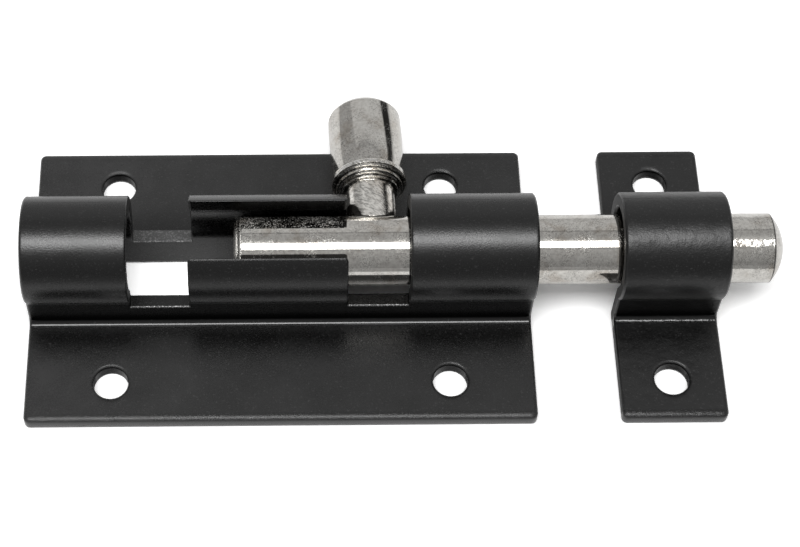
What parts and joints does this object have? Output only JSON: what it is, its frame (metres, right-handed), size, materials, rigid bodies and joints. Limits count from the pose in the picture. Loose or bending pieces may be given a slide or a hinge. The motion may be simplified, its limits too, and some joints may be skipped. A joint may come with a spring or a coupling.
{
  "type": "door bolt",
  "caption": "Surface barrel bolt with a turning knob: a round rod slides in a folded plate and into a matching keeper.",
  "frame": {"origin": "middle of the barrel plate's four screw holes, on the back face that lies on the door", "axes": "+X along the rod towards the keeper, +Z away from the door"},
  "size_m": [0.1192, 0.0545, 0.0207],
  "materials": {
    "black_coat": "satin powder coat",
    "nickel": "bright plated, lightly brushed"
  },
  "bodies": {
    "plates": {"barrel_plate": "black_coat", "keeper_plate": "black_coat"},
    "sliding_rod": {"bolt_rod": "nickel"},
    "turning_knob": {"knob": "nickel"}
  },
  "joints": [
    {"name": "bolt_slide", "type": "slide", "parent": "plates", "child": "sliding_rod", "axis": [1, 0, 0], "range_m": [0, 0.0015]},
    {"name": "knob_turn", "type": "hinge", "parent": "sliding_rod", "child": "turning_knob", "pos_m": [0.01496, 0, 0.0114], "axis": [1, 0, 0], "range_deg": [0, 189.22]}
  ]
}
